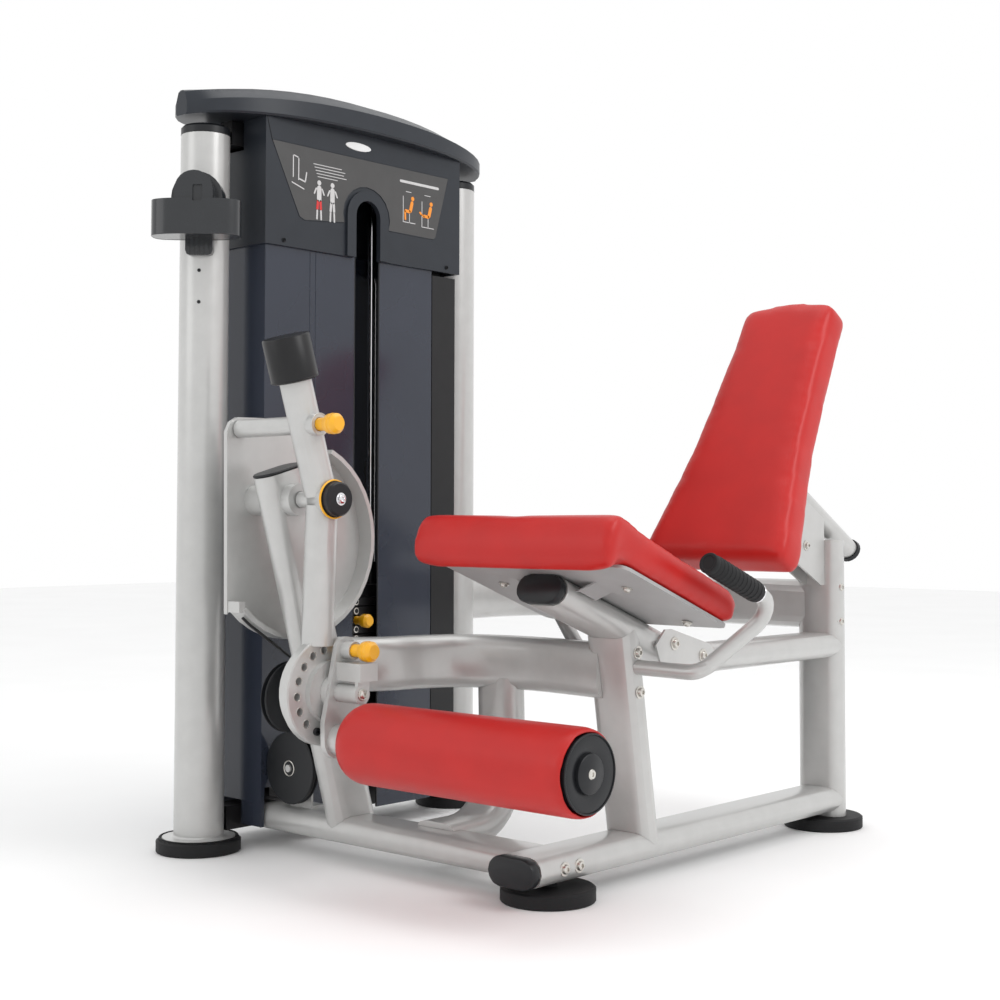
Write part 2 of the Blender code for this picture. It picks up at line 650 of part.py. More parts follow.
CROSS_Z = 0.3915
front_knots = [
    Vector(p + (CROSS_Z,))
    for p in (
        (0.3135, 0.0960),
        (0.350, 0.1200),
        (0.383, 0.1700),
        (0.398, 0.2400),
        (0.435, 0.3100),
        (0.510, 0.3520),
    )
]
front_knots += [Vector((0.620, 0.3640, CROSS_Z)), Vector((0.790, 0.3450, CROSS_Z))]
front_cross = oval_tube("front_cross_tube", spline_path(front_knots, 4), Z)
cut(front_cross, oval_cutter([fsp_low + (fsp_low - fsp_high), fsp_high + (fsp_high - fsp_low)], X))
cut(
    front_cross, oval_cutter([post_low + (post_low - post_high), post_high + (post_high - post_low)], Y)
)

REAR_CROSS_Z = 0.4890
rear_corner = Vector((0.0, 1.0750, REAR_CROSS_Z))
rear_path = bent_path(
    [
        Vector((0, TOWER_Y + 0.030, REAR_CROSS_Z)),
        rear_corner,
        Vector((0.790, REAR_POST_Y, REAR_CROSS_Z)),
    ],
    0.160,
    10,
)
rear_cross = oval_tube("rear_cross_tube", rear_path, Z)
cut(
    rear_cross,
    turned_mesh("m", Vector((0, TOWER_Y, 0)), Z, [(0.0, UPRIGHT_R + GAP), (1.0, UPRIGHT_R + GAP)], 32),
)
cut(rear_cross, oval_cutter(post_cutter_path, X))

brace_x = 0.525
brace_corners = [Vector((brace_x, 0.155, BASE_Z + 0.012)), Vector((brace_x, 0.300, BASE_Z + 0.012))]
brace_corners += [Vector((brace_x - 0.010, 0.3560, 0.190)), Vector((brace_x - 0.015, 0.3570, 0.360))]
brace = oval_tube("j_brace", bent_path(brace_corners, 0.110, 6), X)
cut(brace, oval_cutter([Vector((-0.2, CROSS_Y, BASE_Z)), Vector((1.2, CROSS_Y, BASE_Z))], Y))
cut(brace, sweep_mesh("m", spline_path(front_knots, 4), oval_profile(OVAL_W, OVAL_T, 6, GAP), Z))

# ---- seat: folded steel plate and cushion ----
SEAT_W = 0.468
seat_origin = rail_start + rail_up * (OVAL_T / 2 + 0.0063) - rail_dir * 0.0985


def seat_point(x, s, t):
    return seat_origin + X * x + rail_dir * s + rail_up * t


def seat_prism(outline, x0, x1):
    low = [seat_point(x0, s, t) for s, t in outline]
    return loft_mesh("m", [low, [p + X * (x1 - x0) for p in low]])


plate_low = [
    seat_point(a, b, -0.0060) for a, b in rounded_rectangle(-0.2160, 0.0350, 0.2160, 0.3700, 0.020, 3)
]
plate = add_object(
    "seat_plate", loft_mesh("m", [plate_low, [p + rail_up * 0.0060 for p in plate_low]]), PLATE
)
for s in (-1, 1):
    gusset = [(0.0530, -0.0240), (0.0580, -0.0240), (0.0980, -0.0040), (0.0900, -0.0040)]
    for b in (0.120, 0.170):
        fold = [seat_point(s * a, b, t) for a, t in gusset]
        join(plate, loft_mesh("m", [fold, [p + rail_dir * 0.003 for p in fold]]))
    web = [(0.0575, -0.0230), (0.0600, -0.0230), (0.0990, -0.0040), (0.0950, -0.0040)]
    fold = [seat_point(s * a, 0.1210, t) for a, t in web]
    join(plate, loft_mesh("m", [fold, [p + rail_dir * 0.0510 for p in fold]]))
seat_side = [(0.0260, 0.0004), (0.3680, 0.0004), (0.3780, 0.0060), (0.3800, 0.0360), (0.3740, 0.0500)]
seat_side += [(0.3500, 0.0600), (0.2500, 0.0640), (0.1000, 0.0680), (0.0200, 0.0720), (-0.0150, 0.0720)]
seat_side += [
    (-0.0330, 0.0650), (-0.0420, 0.0450), (-0.0430, 0.0150), (-0.0360, -0.0120), (-0.0200, -0.0270)
]
seat_side += [(-0.0020, -0.0250), (0.0080, -0.0120), (0.0150, -0.0035)]
seat_pad = add_object("seat_pad", seat_prism(seat_side, -SEAT_W / 2, SEAT_W / 2), RED)
bevelled(seat_pad, 0.018, 3, 60)
smooth(seat_pad, 60)

# ---- backrest: tube, bracket, plate and cushion ----
back_up = Vector((0, math.sin(BACK_TILT), math.cos(BACK_TILT)))
back_n = Vector((0, -math.cos(BACK_TILT), math.sin(BACK_TILT)))
back_origin = Vector((SEAT_X, 0.6500, 0.5960))
BACK_T = 0.080
half_widths = [
    (0.0, 0.168), (0.012, 0.177), (0.050, 0.177), (0.140, 0.163), (0.210, 0.151), (0.290, 0.139)
]
half_widths += [(0.380, 0.132), (0.500, 0.1235), (0.610, 0.1165), (0.632, 0.113), (0.645, 0.094)]
shape = [(w, s) for s, w in half_widths] + [(0.0, 0.655)] + [(-w, s) for s, w in reversed(half_widths)]
low = [back_origin + X * a + back_up * b for a, b in shape]
back_pad = add_object("back_pad", loft_mesh("m", [low, [p - back_n * BACK_T for p in low]]), RED)
bevelled(back_pad, 0.016, 3, 60)
smooth(back_pad, 60)

plate_low = back_origin - back_n * (BACK_T + GAP)
back_plate = rounded_rectangle(-0.075, 0.060, 0.075, 0.360, 0.015, 3)
low = [plate_low + X * a + back_up * b for a, b in back_plate]
BACK_TUBE_R = 0.0225
back_tube_a = Vector((SEAT_X, 0.8620, 0.8050))
back_tube_dir = Vector((0, 0.1630, -0.0905)).normalized()
BACK_TUBE = 0.4010
back_tube_b = back_tube_a + back_tube_dir * BACK_TUBE
tube = round_tube("back_tube", [back_tube_a, back_tube_b], BACK_TUBE_R, SILVER, 20)
cut(tube, loft_mesh("m", [low, [p + back_n * 0.30 for p in low]]))
join(tube, loft_mesh("m", [low, [p - back_n * 0.005 for p in low]]))
smooth(tube)
profile = [(BACK_TUBE + GAP, 0.0260), (BACK_TUBE + 0.010, 0.0275), (BACK_TUBE + 0.015, 0.0235)]
smooth(add_object("back_tube_cap", turned_mesh("m", back_tube_a, back_tube_dir, profile, 20), BLACK))

bracket_side = [
    (1.0697, 0.5330), (1.0697, 0.6800), (0.9300, 0.7550), (0.9000, 0.7000), (0.9000, 0.6500)
]
bracket_side += [(0.9630, 0.5810), (1.0550, 0.5330)]
bracket = add_object(
    "back_bracket", yz_prism("m", bracket_side, SEAT_X - 0.0240, SEAT_X + 0.0240), SILVER
)
hollow = [(0.8, 0.50), (1.0650, 0.50), (1.0650, 0.80), (0.8, 0.80)]
cut(bracket, yz_prism("m", hollow, SEAT_X - 0.0190, SEAT_X + 0.0190))
cut(
    bracket,
    turned_mesh(
        "m", back_tube_a, back_tube_dir, [(-0.2, BACK_TUBE_R + GAP), (0.6, BACK_TUBE_R + GAP)], 20
    ),
)
clear = [back_origin - X * 0.3 - back_n * (BACK_T + 0.0060) + back_up * b for b in (-0.2, 0.8)]
clear += [p + back_n * 0.5 for p in reversed(clear)]
cut(bracket, loft_mesh("m", [clear, [p + X * 0.6 for p in clear]]))

# ---- hand grips beside the seat ----
for name, s in (("right", 1), ("left", -1)):
    if s > 0:
        corners = [Vector((SEAT_X + 0.020, 0.354, 0.402)), Vector((SEAT_X + 0.192, 0.350, 0.400))]
    else:
        corners = [Vector((SEAT_X - 0.061, 0.346, 0.3950))]
    corners.append(Vector((SEAT_X + s * 0.274, 0.485, 0.518)))
    corners.append(corners[-1] - rail_dir * 0.238)
    path = bent_path(corners, 0.038, 6)
    handle = round_tube(name + "_handle", path, 0.0145, SILVER, 12, rail_up)
    cut(handle, oval_cutter([fsp_low + (fsp_low - fsp_high), fsp_high + (fsp_high - fsp_low)], X))
    if s < 0:
        cut(
            handle,
            sweep_mesh("m", spline_path(front_knots, 4), oval_profile(OVAL_W, OVAL_T, 6, GAP), Z),
        )
    smooth(handle)
    start = corners[-1] + rail_dir * 0.010
    grip = add_object(
        name + "_grip",
        turned_mesh(
            "m", start, rail_dir, [(0.0, 0.0185), (0.003, 0.0195), (0.147, 0.0195), (0.150, 0.0185)], 18
        ),
        RUBBER,
    )
    cut(grip, turned_mesh("m", start, rail_dir, [(-0.05, 0.0149), (0.2, 0.0149)], 18))
    smooth(grip)

# ---- cam: plate, rim and hub, turning on the pivot ----
outline = [(-0.1000, 0.4930), (-0.1040, 0.8450), (-0.0950, 0.8640), (-0.0780, 0.8740), (0.0200, 0.8760)]
outline += [(0.0650, 0.8600), (0.1000, 0.8360)]
for i in range(19):
    a = math.radians(66.0 - i * (66.0 + 137.0) / 18)
    outline.append((CAM_C[0] + CAM_R * math.cos(a), CAM_C[1] + CAM_R * math.sin(a)))
cam = add_object("cam", yz_prism("m", outline, CAM_X, CAM_X + 0.010), SILVER)
outer = []
inside = []
for i in range(23):
    a = math.radians(66.0 - i * (66.0 + 137.0) / 22)
    outer.append((CAM_C[0] + CAM_R * math.cos(a), CAM_C[1] + CAM_R * math.sin(a)))
    inside.append((CAM_C[0] + (CAM_R - 0.009) * math.cos(a), CAM_C[1] + (CAM_R - 0.009) * math.sin(a)))
join(cam, yz_prism("m", outer + list(reversed(inside)), CAM_X + 0.0005, CAM_X + 0.047))
join(cam, turned_mesh("m", PIVOT, X, [(CAM_X + 0.002, 0.031), (0.2690, 0.031)], 20))
join(cam, turned_mesh("m", PIVOT, X, [(0.2600, 0.0155), (0.3443, 0.0155)], 16))
join(cam, box_mesh("m", (CAM_X + 0.002, -0.0985, 0.4970), (CAM_X + 0.045, -0.0840, 0.5180)))
for i in range(5):
    a = -START_STEP * i
    dy = START_PIN[0] - PIVOT.y
    dz = START_PIN[1] - PIVOT.z
    hole = Vector(
        (
            0,
            PIVOT.y + dy * math.cos(a) - dz * math.sin(a),
            PIVOT.z + dy * math.sin(a) + dz * math.cos(a),
        )
    )
    cut(cam, turned_mesh("m", hole, X, [(CAM_X - 0.01, 0.0070), (CAM_X + 0.02, 0.0070)], 12))
set_origin(smooth(cam), Vector((CAM_X, PIVOT.y, PIVOT.z)))

# ---- movement arm: hub, upper and lower tubes, start pin sleeve and adjuster drum ----
hub = Vector((ARM_X, PIVOT.y, PIVOT.z))
upper_dir = Vector((0, -0.2930, 0.9561)).normalized()
UPPER = 0.2295
up_end = hub + upper_dir * UPPER
profile = [(0.3480, 0.0155), (0.3800, 0.0155), (0.3880, 0.0230), (0.4370, 0.0338)]
arm = add_object("movement_arm", turned_mesh("m", PIVOT, X, profile, 22), SILVER)
join(arm, sweep_mesh("m", [hub + upper_dir * 0.012, up_end], round_profile(0.0305, 20), X))
low_end = Vector((ARM_X - 0.004, -0.0360, 0.4400))
join(arm, sweep_mesh("m", [hub - Z * 0.012, low_end], round_profile(0.0302, 20), X))
drum = Vector((0, DISC_C[0], DISC_C[1]))
profile = [(0.3780, DISC_R - 0.012), (0.3960, DISC_R - 0.010), (0.3965, DISC_R), (0.4130, DISC_R)]
profile += [(0.4155, DISC_R - 0.0025), (0.4160, 0.0585), (0.4270, 0.0575), (0.4275, 0.0200)]
join(arm, turned_mesh("m", drum, X, profile, 36))
for i in range(8):
    a = PIN_ANGLE + HOLE_STEP * i
    hole = drum + Vector((0, HOLE_R * math.cos(a), HOLE_R * math.sin(a)))
    cut(arm, turned_mesh("m", hole, X, [(0.3950, 0.0072), (0.4250, 0.0072)], 12))
cut(arm, turned_mesh("m", drum, X, [(0.3700, 0.0130), (0.4400, 0.0130)], 16))
sleeve = Vector((0, START_PIN[0], START_PIN[1]))
join(arm, turned_mesh("m", sleeve, X, [(CAM_X + 0.0125, 0.0180), (0.4420, 0.0180)], 18))
join(arm, turned_mesh("m", sleeve, X, [(0.4260, 0.0215), (0.4470, 0.0215)], 18))
cut(arm, turned_mesh("m", sleeve, X, [(0.15, 0.0066), (0.50, 0.0066)], 12))
cut(arm, turned_mesh("m", sleeve, X, [(0.4240, 0.0135), (0.50, 0.0135)], 14))
set_origin(smooth(arm), hub)

profile = [
    (UPPER + GAP, 0.041), (UPPER + 0.0025, 0.0450), (UPPER + 0.0815, 0.0450), (UPPER + 0.0845, 0.0430)
]
weight = add_object("counterweight", turned_mesh("m", hub, upper_dir, profile, 28), IRON)
set_origin(smooth(weight), hub)

profile = [
    (0.4370 + GAP, 0.0345), (0.4425, 0.0345), (0.4427, 0.0325), (0.4540, 0.0325), (0.4580, 0.0290)
]
pivot_cap = add_object("pivot_cap", turned_mesh("m", PIVOT, X, profile, 28), BLACK)
set_origin(smooth(pivot_cap), Vector((0.4450, PIVOT.y, PIVOT.z)))


# ---- yellow pull pins ----
def pull_pin(name, centre, tip, collar, rod):
    """A sprung plunger: the rod runs from the tip to the collar face, with the knob beyond it."""
    profile = [(tip, rod), (collar - 0.012, rod), (collar - 0.0115, 0.0125), (collar + 0.022, 0.0125)]
    profile += [
        (collar + 0.0225, 0.0160),
        (collar + 0.028, 0.0190),
        (collar + 0.046, 0.0190),
        (collar + 0.053, 0.0130),
    ]
    obj = add_object(name, turned_mesh("m", centre, X, profile, 20), YELLOW)
    return set_origin(smooth(obj), Vector((collar, centre.y, centre.z)))


pull_pin("start_pin", sleeve, CAM_X + 0.0104, 0.4470, 0.0060)

# ---- roller bracket: plate, box, lug and shafts, turning about the drum ----
pin_c = (DISC_C[0] + HOLE_R * math.cos(PIN_ANGLE), DISC_C[1] + HOLE_R * math.sin(PIN_ANGLE))
outline = []
for i in range(9):
    a = math.radians(-20 + i * 25)
    outline.append((pin_c[0] + 0.0250 * math.cos(a), pin_c[1] + 0.0250 * math.sin(a)))
outline += [(-0.0580, 0.3000)]
for i in range(9):
    a = math.radians(170 + i * 25)
    outline.append((ROLLER_C[0] + 0.0360 * math.cos(a), ROLLER_C[1] + 0.0360 * math.sin(a)))
outline += [(0.0200, 0.3400)]
bracket = add_object("roller_bracket", yz_prism("m", outline, 0.4365, 0.4480), SILVER)
join(bracket, box_mesh("m", (0.4460, -0.0300, 0.3780), (0.5130, 0.0140, 0.4110)))
join(bracket, turned_mesh("m", drum, X, [(0.4975, 0.0185), (0.5065, 0.0185)], 20))
join(bracket, box_mesh("m", (0.4980, -0.0290, 0.3560), (0.5060, 0.0000, 0.3900)))
join(bracket, turned_mesh("m", drum, X, [(0.3800, 0.0122), (0.4480, 0.0122)], 16))
join(bracket, turned_mesh("m", drum, X, [(0.4279, 0.0330), (0.4420, 0.0310)], 24))
join(bracket, turned_mesh("m", drum, X, [(0.4430, 0.0180), (0.5000, 0.0180)], 18))
collar = Vector((0, pin_c[0], pin_c[1]))
join(bracket, turned_mesh("m", collar, X, [(0.4400, 0.0170), (0.4700, 0.0170)], 18))
cut(bracket, turned_mesh("m", collar, X, [(0.40, 0.0066), (0.48, 0.0066)], 12))
cut(bracket, turned_mesh("m", collar, X, [(0.4450, 0.0132), (0.48, 0.0132)], 14))
axle = Vector((0, ROLLER_C[0], ROLLER_C[1]))
join(bracket, turned_mesh("m", axle, X, [(0.4420, 0.0290), (0.4900, 0.0290)], 22))
join(bracket, turned_mesh("m", axle, X, [(0.4600, 0.0125), (1.0200, 0.0125)], 14))
set_origin(smooth(bracket), Vector((0.4365, DISC_C[0], DISC_C[1])))
pull_pin("adjust_pin", collar, 0.4165, 0.4700, 0.0060)

# ---- shin roller and its end cap ----
x0, x1 = ROLLER_X
round_end = 0.037
profile = []
for i in range(5):
    a = math.radians(22.5 * i)
    profile.append((x0 + round_end * (1 - math.cos(a)), ROLLER_R - round_end * (1 - math.sin(a))))
profile += [(x1 - 0.008, ROLLER_R), (x1 - 0.002, ROLLER_R - 0.003), (x1, ROLLER_R - 0.007)]
roller = add_object("shin_roller", turned_mesh("m", axle, X, profile, 32), RED)
cut(roller, turned_mesh("m", axle, X, [(0.40, 0.0132), (1.10, 0.0132)], 16))
cut(roller, turned_mesh("m", axle, X, [(x1 - 0.030, 0.0640), (1.10, 0.0640)], 28))
set_origin(smooth(roller), Vector((x0, ROLLER_C[0], ROLLER_C[1])))
profile = [(x1 - 0.0297, 0.0635), (x1 - 0.001, 0.0635), (x1 + 0.0005, 0.0600), (x1 - 0.004, 0.0340)]
profile += [(x1 + 0.002, 0.0330), (x1 + 0.004, 0.0300), (x1 + 0.004, 0.0100)]
end_cap = add_object("roller_end_cap", turned_mesh("m", axle, X, profile, 28), BLACK)
cut(end_cap, turned_mesh("m", axle, X, [(0.90, 0.0132), (1.0250, 0.0132)], 16))
set_origin(smooth(end_cap), Vector((x1, ROLLER_C[0], ROLLER_C[1])))


# ---- pulleys ----
def pulley(name, centre, axis, r):
    groove = r - 0.0036
    flange = r + 0.0045
    profile = [
        (-0.0085, flange - 0.002), (-0.0070, flange), (-0.0055, flange), (-0.0034, groove + 0.0005)
    ]
    profile += [(0.0034, groove + 0.0005), (0.0055, flange), (0.0070, flange), (0.0085, flange - 0.002)]
    obj = add_object(name, turned_mesh("m", centre, axis, profile, 32), BLACK)
    cut(obj, turned_mesh("m", centre, axis, [(-0.05, 0.0080), (0.05, 0.0080)], 14))
    return set_origin(smooth(obj), centre)


pulley("cam_pulley", pulley_a, X, A_R)
pulley("floor_pulley", Vector((B_C[0], RUN_Y, B_C[1])), Y, B_R)
pulley("tower_pulley", Vector((C_C[0], RUN_Y, C_C[1])), Y, C_R)
pulley("top_pulley_front", d1, n_top, TOP_R)
pulley("top_pulley_rear", d2, n_top, TOP_R)

# ---- cable: cam rim, cam pulley, floor pulley, tower pulley, top pulleys, head plate ----
cam_c = Vector((CABLE_X, CAM_C[0], CAM_C[1]))
rim_r = CAM_R + CABLE_R + 0.0006
between = Vector((CAM_C[0] - A_C[0], CAM_C[1] - A_C[1]))
normal_angle = math.atan2(between.y, between.x) - math.acos((rim_r + A_R) / between.length)
path = []
start_angle = math.radians(-132.0)
end_angle = normal_angle - math.pi
for i in range(5):
    a = start_angle + (end_angle - start_angle) * i / 4
    path.append(cam_c + Vector((0, math.cos(a), math.sin(a))) * rim_r)


def wrap(centre, u, v, r, a0, a1, steps):
    for i in range(steps + 1):
        a = a0 + (a1 - a0) * i / steps
        path.append(centre + (u * math.cos(a) + v * math.sin(a)) * r)


wrap(pulley_a, Y, Z, A_R, normal_angle, 0.0, 6)
wrap(Vector((B_C[0], RUN_Y, B_C[1])), X, Z, B_R, 0.0, -math.pi / 2, 8)
wrap(Vector((C_C[0], RUN_Y, C_C[1])), X, Z, C_R, -math.pi / 2, -math.pi, 8)
wrap(d1, u_top, Z, TOP_R, math.pi, math.pi / 2, 8)
wrap(d2, u_top, Z, TOP_R, math.pi / 2, 0.0, 8)
path.append(Vector((0, TOWER_MID, 0.600 + GAP)))
smooth(
    add_object(
        "cable", sweep_mesh("m", path, round_profile(CABLE_R, 6), Vector((0.9, -0.35, 0.27))), CORD
    )
)

# ---- bring the footprint to the origin ----
for obj in model.objects:
    if obj.parent is None:
        obj.location = obj.location + SHIFT
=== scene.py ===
import json
import math

import bmesh
import bpy
from mathutils import Matrix, Vector


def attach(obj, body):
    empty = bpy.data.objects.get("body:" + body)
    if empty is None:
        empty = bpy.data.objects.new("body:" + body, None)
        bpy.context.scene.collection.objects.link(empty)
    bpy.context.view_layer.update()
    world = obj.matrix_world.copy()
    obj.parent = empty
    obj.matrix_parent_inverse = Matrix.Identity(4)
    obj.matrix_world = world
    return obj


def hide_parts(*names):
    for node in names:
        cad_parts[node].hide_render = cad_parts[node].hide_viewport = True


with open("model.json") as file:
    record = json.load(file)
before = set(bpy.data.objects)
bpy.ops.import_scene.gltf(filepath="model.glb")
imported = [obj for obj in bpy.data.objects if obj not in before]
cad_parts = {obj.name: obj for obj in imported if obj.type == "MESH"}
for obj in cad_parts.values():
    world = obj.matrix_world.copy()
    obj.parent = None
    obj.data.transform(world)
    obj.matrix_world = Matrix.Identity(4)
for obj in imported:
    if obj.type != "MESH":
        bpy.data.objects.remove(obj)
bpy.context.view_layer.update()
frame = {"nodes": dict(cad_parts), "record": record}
nodes = frame["nodes"]

# Machine coordinates have the front upright's axis at the origin; SHIFT brings them to the row frame.
SHIFT = Vector((-0.4847, -0.5364, 0.0))
X = Vector((1, 0, 0))
Y = Vector((0, 1, 0))
Z = Vector((0, 0, 1))
scene = bpy.context.scene


def at(x, y, z):
    return Vector((x, y, z)) + SHIFT


# ---- materials: every one is procedural ----
def material(name, colour, rough, metal=0.0, grain=0.06, scale=60.0, bump=0.05, bump_scale=400.0,
             coat=0.0, sheen=0.0, alpha=1.0, specular=0.5):
    """A surface whose colour and roughness drift a little, with a fine bump."""
    mat = bpy.data.materials.new("look_" + name)
    mat.use_nodes = True
    tree = mat.node_tree
    shader = tree.nodes["Principled BSDF"]
    place = tree.nodes.new("ShaderNodeTexCoord")
    drift = tree.nodes.new("ShaderNodeTexNoise")
    drift.inputs["Scale"].default_value = scale
    drift.inputs["Detail"].default_value = 3.0
    tree.links.new(place.outputs["Object"], drift.inputs["Vector"])
    tint = tree.nodes.new("ShaderNodeValToRGB")
    low = [max(0.0, c * (1 - grain)) for c in colour]
    high = [min(1.0, c * (1 + grain)) for c in colour]
    tint.color_ramp.elements[0].position = 0.3
    tint.color_ramp.elements[0].color = (*low, 1)
    tint.color_ramp.elements[1].position = 0.7
    tint.color_ramp.elements[1].color = (*high, 1)
    tree.links.new(drift.outputs["Fac"], tint.inputs["Fac"])
    tree.links.new(tint.outputs["Color"], shader.inputs["Base Color"])
    span = tree.nodes.new("ShaderNodeMapRange")
    span.inputs["To Min"].default_value = max(0.0, rough - 0.04)
    span.inputs["To Max"].default_value = min(1.0, rough + 0.04)
    tree.links.new(drift.outputs["Fac"], span.inputs["Value"])
    tree.links.new(span.outputs["Result"], shader.inputs["Roughness"])
    shader.inputs["Metallic"].default_value = metal
    shader.inputs["Specular IOR Level"].default_value = specular
    shader.inputs["Coat Weight"].default_value = coat
    shader.inputs["Coat Roughness"].default_value = 0.12
    shader.inputs["Sheen Weight"].default_value = sheen
    shader.inputs["Alpha"].default_value = alpha
    if bump > 0:
        fine = tree.nodes.new("ShaderNodeTexNoise")
        fine.inputs["Scale"].default_value = bump_scale
        fine.inputs["Detail"].default_value = 2.0
        tree.links.new(place.outputs["Object"], fine.inputs["Vector"])
        raise_it = tree.nodes.new("ShaderNodeBump")
        raise_it.inputs["Strength"].default_value = bump
        raise_it.inputs["Distance"].default_value = 0.001
        tree.links.new(fine.outputs["Fac"], raise_it.inputs["Height"])
        tree.links.new(raise_it.outputs["Normal"], shader.inputs["Normal"])
    return mat


SILVER = material("silver_paint", (0.52, 0.52, 0.51), 0.30, 0.35, 0.03, 30, 0.04, 900, coat=0.25)
PLATE = material("plate_paint", (0.40, 0.40, 0.40), 0.42, 0.25, 0.04, 30, 0.05, 800)
RUBBER = material("black_rubber", (0.009, 0.009, 0.010), 0.62, 0.0, 0.15, 40, 0.25, 500, specular=0.3)
BLACK = material("black_plastic", (0.009, 0.010, 0.012), 0.36, 0.0, 0.10, 40, 0.10, 700, specular=0.35)
COVER = material("dark_cover", (0.020, 0.024, 0.031), 0.36, 0.0, 0.05, 25, 0.08, 900, specular=0.35)
HOLDER = material("dark_holder", (0.014, 0.016, 0.019), 0.20, 0.0, 0.05, 30, 0.03, 600, coat=0.4, specular=0.4)
STEEL = material("black_steel", (0.008, 0.008, 0.009), 0.36, 0.1, 0.12, 40, 0.08, 600, specular=0.4)
CHROME = material("chrome_rod", (0.78, 0.78, 0.80), 0.12, 1.0, 0.02, 20, 0.0)
ZINC = material("zinc_bolt", (0.62, 0.60, 0.56), 0.28, 0.9, 0.06, 60, 0.03, 900)
SMOKE = material("smoked_panel", (0.030, 0.036, 0.053), 0.14, 0.0, 0.06, 6, 0.0, coat=0.2, alpha=0.94, specular=0.4)
VINYL = material("red_vinyl", (0.47, 0.013, 0.011), 0.38, 0.0, 0.05, 14, 0.10, 1100, specular=0.35)
YELLOW = material("yellow_plastic", (0.86, 0.42, 0.006), 0.30, 0.0, 0.03, 30, 0.02, 500, coat=0.3)
PLACARD = material("placard", (0.070, 0.070, 0.070), 0.42, 0.0, 0.04, 30, 0.02, 600, specular=0.3)
LINE = material("placard_line", (0.55, 0.55, 0.55), 0.45, 0.0, 0.03, 30, 0.0)
ORANGE = material("placard_orange", (0.85, 0.28, 0.02), 0.45, 0.0, 0.03, 30, 0.0)
REDMARK = material("placard_red", (0.62, 0.03, 0.03), 0.45, 0.0, 0.03, 30, 0.0)
BADGE = material("badge_silver", (0.80, 0.80, 0.80), 0.30, 0.6, 0.03, 30, 0.0)
CORD = material("black_cable", (0.012, 0.012, 0.013), 0.45, 0.0, 0.1, 90, 0.10, 900)
BY_SLOT = {
    "silver_paint": SILVER, "black_rubber": RUBBER, "black_plastic": BLACK, "dark_cover": COVER,
    "black_steel": STEEL, "chrome_rod": CHROME, "smoked_panel": SMOKE, "red_vinyl": VINYL,
    "yellow_plastic": YELLOW,
}
SPECIAL = {"seat_plate": PLATE, "cup_holder": HOLDER, "cable": CORD}
for entry in frame["record"]["subparts"]:
    name = entry["node"]
    obj = nodes[name]
    obj.data.materials.clear()
    obj.data.materials.append(SPECIAL.get(name, BY_SLOT[entry["material_slot"]]))
    weld = obj.modifiers.new("weld", "WELD")
    weld.merge_threshold = 0.00002
    obj.data.polygons.foreach_set("use_smooth", [True] * len(obj.data.polygons))
    split = obj.modifiers.new("split", "EDGE_SPLIT")
    split.split_angle = math.radians(34)


# ---- helpers for added pieces ----
def add_piece(name, points, faces, mat, body="frame", smooth_angle=34):
    mesh = bpy.data.meshes.new(name)
    mesh.from_pydata([tuple(p) for p in points], [], faces)
    work = bmesh.new()
    work.from_mesh(mesh)
    bmesh.ops.remove_doubles(work, verts=work.verts, dist=1e-6)
    bmesh.ops.recalc_face_normals(work, faces=work.faces)
    work.to_mesh(mesh)
    work.free()
    mesh.materials.append(mat)
    obj = bpy.data.objects.new(name, mesh)
    scene.collection.objects.link(obj)
    mesh.polygons.foreach_set("use_smooth", [True] * len(mesh.polygons))
    mesh.set_sharp_from_angle(angle=math.radians(smooth_angle))
    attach(obj, body)
    return obj


def frame_of(axis):
    axis = Vector(axis).normalized()
    side = axis.cross(Z if abs(axis.z) < 0.9 else X).normalized()
    return axis, side, axis.cross(side)


def lathe(name, centre, axis, profile, mat, body="frame", steps=32):
    """A solid turned about an axis: profile is (distance along, radius), closed at both ends."""
    axis, u, v = frame_of(axis)
    points = []
    for h, r in profile:
        for i in range(steps):
            a = math.tau * i / steps
            points.append(centre + axis * h + (u * math.cos(a) + v * math.sin(a)) * r)
    faces = []
    for k in range(len(profile) - 1):
        for i in range(steps):
            j = (i + 1) % steps
            faces.append((k * steps + i, k * steps + j, (k + 1) * steps + j, (k + 1) * steps + i))
    faces.append(tuple(range(steps)))
    faces.append(tuple(range((len(profile) - 1) * steps, len(profile) * steps)))
    return add_piece(name, points, faces, mat, body)


def ring(name, centre, axis, big, small, mat, body="frame", steps=40, round_steps=10, flat=1.0):
    """A bead or band round an axis: big is its mean radius, small its section radius."""
    axis, u, v = frame_of(axis)
    points = []
    for i in range(steps):
        a = math.tau * i / steps
        out = u * math.cos(a) + v * math.sin(a)
        for k in range(round_steps):
            b = math.tau * k / round_steps
            points.append(centre + out * (big + small * math.cos(b)) + axis * (small * flat * math.sin(b)))
    faces = []
    for i in range(steps):
        for k in range(round_steps):
            i2 = (i + 1) % steps
            k2 = (k + 1) % round_steps
            faces.append((i * round_steps + k, i2 * round_steps + k, i2 * round_steps + k2, i * round_steps + k2))
    return add_piece(name, points, faces, mat, body, 60)


def bar(name, path, r, mat, body="frame", steps=10, closed=False):
    """A thin bead along a path of points."""
    points = []
    count = len(path)
    for i, p in enumerate(path):
        before = path[i - 1] if i or closed else p
        after = path[(i + 1) % count] if i < count - 1 or closed else p
        run, u, v = frame_of(after - before)
        for k in range(steps):
            a = math.tau * k / steps
            points.append(p + (u * math.cos(a) + v * math.sin(a)) * r)
    faces = []
    for i in range(count if closed else count - 1):
        j = (i + 1) % count
        for k in range(steps):
            m = (k + 1) % steps
            faces.append((i * steps + k, i * steps + m, j * steps + m, j * steps + k))
    if not closed:
        faces.append(tuple(range(steps)))
        faces.append(tuple(range((count - 1) * steps, count * steps)))
    return add_piece(name, points, faces, mat, body, 60)


